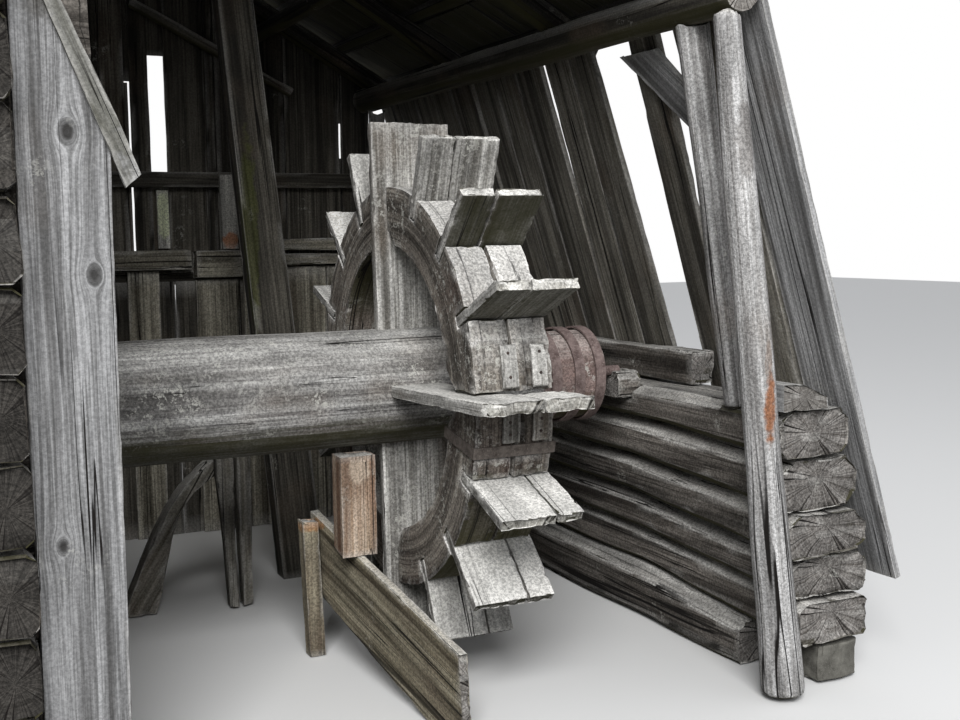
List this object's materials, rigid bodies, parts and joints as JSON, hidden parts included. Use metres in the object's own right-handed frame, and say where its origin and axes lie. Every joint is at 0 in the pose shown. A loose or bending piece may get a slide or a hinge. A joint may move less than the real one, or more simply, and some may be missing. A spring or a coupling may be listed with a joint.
{
  "type": "watermill wheel house",
  "caption": "Open log wheel house of an old watermill: a weathered paddle wheel with plank arms on a thick log axle, hewn log walls and a lean-to roof",
  "frame": {"origin": "middle of the outline on the ground, X out along the axle, Y to the rear", "axes": "row"},
  "size_m": [3.44, 4.3, 4.3558],
  "materials": {
    "mill_logs": "old hewn softwood, rough and dark grey",
    "hewn_logs": "old hewn softwood, cracked, dark grey brown",
    "grey_boards": "weathered softwood boards, silver grey and dry",
    "barn_boards": "sheltered softwood boards, dark grey brown",
    "axle_wood": "debarked softwood trunk, grey with pale specks",
    "wheel_wood": "weathered thick planks, silver grey",
    "felloe_wood": "weathered hewn felloes, grey brown",
    "peeled_poles": "peeled softwood poles, grey with long cracks",
    "roof_wood": "old roof timber and shingles, nearly black",
    "fresh_wood": "newer softwood, orange brown",
    "rusty_iron": "wrought iron with old dull rust",
    "field_stone": "grey field stone"
  },
  "bodies": {
    "house": {"mill_wall_odd_logs": "mill_logs", "mill_wall_even_logs": "mill_logs", "corner_even_logs": "mill_logs", "corner_odd_logs": "mill_logs", "corner_board": "grey_boards", "verge_board": "grey_boards", "inner_bearing_post": "hewn_logs", "pier_odd_logs": "hewn_logs", "pier_even_logs": "hewn_logs", "pier_top_slab": "hewn_logs", "base_stone": "field_stone", "bearing_block": "hewn_logs", "plate_pole": "peeled_poles", "rafter_poles": "roof_wood", "roof_purlin": "roof_wood", "roof_battens": "roof_wood", "roof_covering": "roof_wood", "leaning_boards": "barn_boards", "raking_plank": "grey_boards", "brace_board": "grey_boards", "sill_beam": "hewn_logs", "round_post": "peeled_poles", "split_post": "peeled_poles", "rear_boards": "barn_boards", "rear_rail": "barn_boards", "rear_timbers": "barn_boards", "rear_lower_boards": "barn_boards", "rear_slabs": "grey_boards", "rear_strut": "peeled_poles", "rear_post": "peeled_poles", "leaning_post": "barn_boards", "hanging_posts": "barn_boards", "knee_brace": "barn_boards", "slanted_plank": "barn_boards", "prop_block": "fresh_wood", "stake": "barn_boards"},
    "wheel": {"axle_log": "axle_wood", "axle_hoops": "rusty_iron", "outer_pin": "rusty_iron", "inner_pin": "rusty_iron", "level_arm": "wheel_wood", "upright_arm": "wheel_wood", "arm_end_boards": "wheel_wood", "felloe_upper_front": "felloe_wood", "felloe_upper_rear": "felloe_wood", "felloe_lower_rear": "felloe_wood", "felloe_lower_front": "felloe_wood", "paddles_upper_front": "wheel_wood", "paddles_upper_rear": "wheel_wood", "paddles_lower_rear": "wheel_wood", "paddles_lower_front": "wheel_wood", "rim_splints": "wheel_wood", "rim_strap": "rusty_iron"}
  },
  "joints": [
    {"name": "wheel_spin", "type": "hinge", "parent": "house", "child": "wheel", "pos_m": [0, -0.7, 1.15], "axis": [1, 0, 0], "continuous": true}
  ]
}
